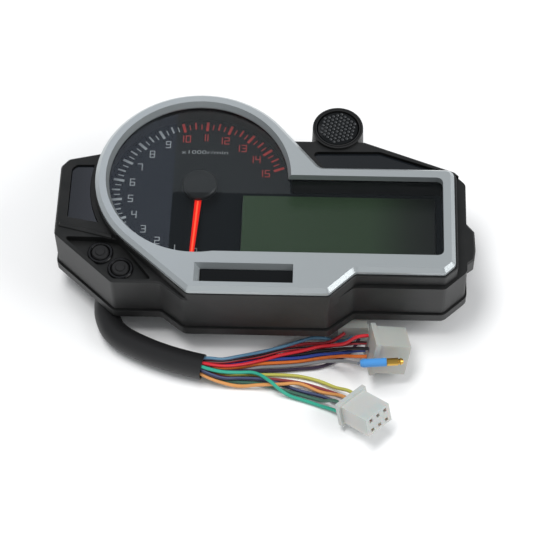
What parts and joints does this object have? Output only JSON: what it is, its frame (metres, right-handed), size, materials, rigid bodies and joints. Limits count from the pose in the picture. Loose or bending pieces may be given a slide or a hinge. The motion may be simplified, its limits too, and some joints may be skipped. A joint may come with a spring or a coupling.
{
  "type": "motorcycle instrument cluster",
  "caption": "Motorcycle instrument cluster with a round tachometer dial, a wide display, push buttons, a shift light and a wiring harness.",
  "frame": {"origin": "bottom centre of the case, without the harness, on the plane of the three mounting boss faces", "axes": "+Z out of the dial face, +Y towards the top of the face, +X to the viewer's right"},
  "size_m": [0.215, 0.1803, 0.054],
  "materials": {
    "bezel_silver": "satin silver plating",
    "case_black": "fine texture",
    "gloss_black": "polished",
    "clear_lens": "clear",
    "rubber_black": "matte",
    "dial_black": "printed",
    "pointer_red": "fluorescent",
    "lcd_glass": "polarised",
    "white_nylon": "translucent",
    "brass": "turned",
    "steel": "zinc plated",
    "board_green": "solder mask",
    "bullet_blue": "vinyl",
    "wire_steel_blue": "vinyl insulation",
    "wire_black": "vinyl insulation",
    "wire_navy": "vinyl insulation",
    "wire_orange": "vinyl insulation",
    "wire_grey": "vinyl insulation",
    "wire_olive": "vinyl insulation",
    "wire_brown": "vinyl insulation",
    "wire_slate_green": "vinyl insulation",
    "wire_tan": "vinyl insulation",
    "wire_red_branch": "vinyl insulation",
    "wire_dark_red": "vinyl insulation",
    "wire_bright_red": "vinyl insulation",
    "wire_violet_black": "vinyl insulation",
    "wire_teal": "vinyl insulation",
    "wire_navy_stripe": "vinyl insulation"
  },
  "bodies": {
    "case": {"front_bezel": "bezel_silver", "front_lens": "clear_lens", "badge_inlay": "gloss_black", "left_indicator_window": "gloss_black", "right_indicator_window": "gloss_black", "front_housing": "case_black", "rear_cover": "case_black", "rear_gasket": "rubber_black", "rear_screw_1": "steel", "rear_screw_2": "steel", "rear_screw_3": "steel", "rear_screw_4": "steel", "mount_insert_1": "brass", "mount_insert_2": "brass", "mount_insert_3": "brass", "dial_plate": "dial_black", "stepper_motor": "case_black", "lcd_panel": "lcd_glass", "lcd_backlight": "white_nylon", "main_board": "board_green", "microcontroller": "case_black", "board_connector": "white_nylon", "shift_light_ring": "case_black", "shift_light_lens": "gloss_black", "shift_light_led": "white_nylon", "mode_button_collar": "case_black", "mode_button_seal": "rubber_black", "set_button_collar": "case_black", "set_button_seal": "rubber_black", "mode_switch": "steel", "set_switch": "steel", "harness_grommet": "rubber_black", "harness_sleeve": "rubber_black", "wire_steel_blue": "wire_steel_blue", "wire_black": "wire_black", "wire_navy": "wire_navy", "wire_orange": "wire_orange", "wire_grey": "wire_grey", "wire_olive": "wire_olive", "wire_brown": "wire_brown", "wire_slate_green": "wire_slate_green", "wire_tan": "wire_tan", "wire_red_branch": "wire_red_branch", "wire_dark_red": "wire_dark_red", "wire_bright_red": "wire_bright_red", "wire_violet_black": "wire_violet_black", "wire_teal": "wire_teal", "wire_navy_stripe": "wire_navy_stripe", "six_pin_plug": "white_nylon", "nine_pin_plug": "white_nylon", "rear_plug": "white_nylon", "bullet_sleeve": "bullet_blue", "bullet_pin": "brass"},
    "needle": {"pointer": "pointer_red", "pointer_hub_cap": "case_black", "motor_shaft": "steel"},
    "mode_key": {"mode_button": "rubber_black"},
    "set_key": {"set_button": "rubber_black"},
    "mode_plunger": {"mode_switch_plunger": "case_black"},
    "set_plunger": {"set_switch_plunger": "case_black"}
  },
  "joints": [
    {"name": "pointer_turn", "type": "hinge", "parent": "case", "child": "needle", "pos_m": [-0.0339, 0.00885, 0.041], "axis": [0, 0, -1], "range_deg": [0, 246]},
    {"name": "mode_press", "type": "slide", "parent": "case", "child": "mode_key", "axis": [0, 0, -1], "range_m": [0, 0.0008], "stiffness_N_per_m": 1500, "springref_m": -0.0004},
    {"name": "set_press", "type": "slide", "parent": "case", "child": "set_key", "axis": [0, 0, -1], "range_m": [0, 0.0008], "stiffness_N_per_m": 1500, "springref_m": -0.0004},
    {"name": "mode_plunge", "type": "slide", "parent": "case", "child": "mode_plunger", "axis": [0, 0, -1], "range_m": [0, 0.0006]},
    {"name": "set_plunge", "type": "slide", "parent": "case", "child": "set_plunger", "axis": [0, 0, -1], "range_m": [0, 0.0006]}
  ],
  "couplings": [
    {"joint": "mode_plunge", "follows": "mode_press", "ratio": 0.75},
    {"joint": "set_plunge", "follows": "set_press", "ratio": 0.75}
  ]
}
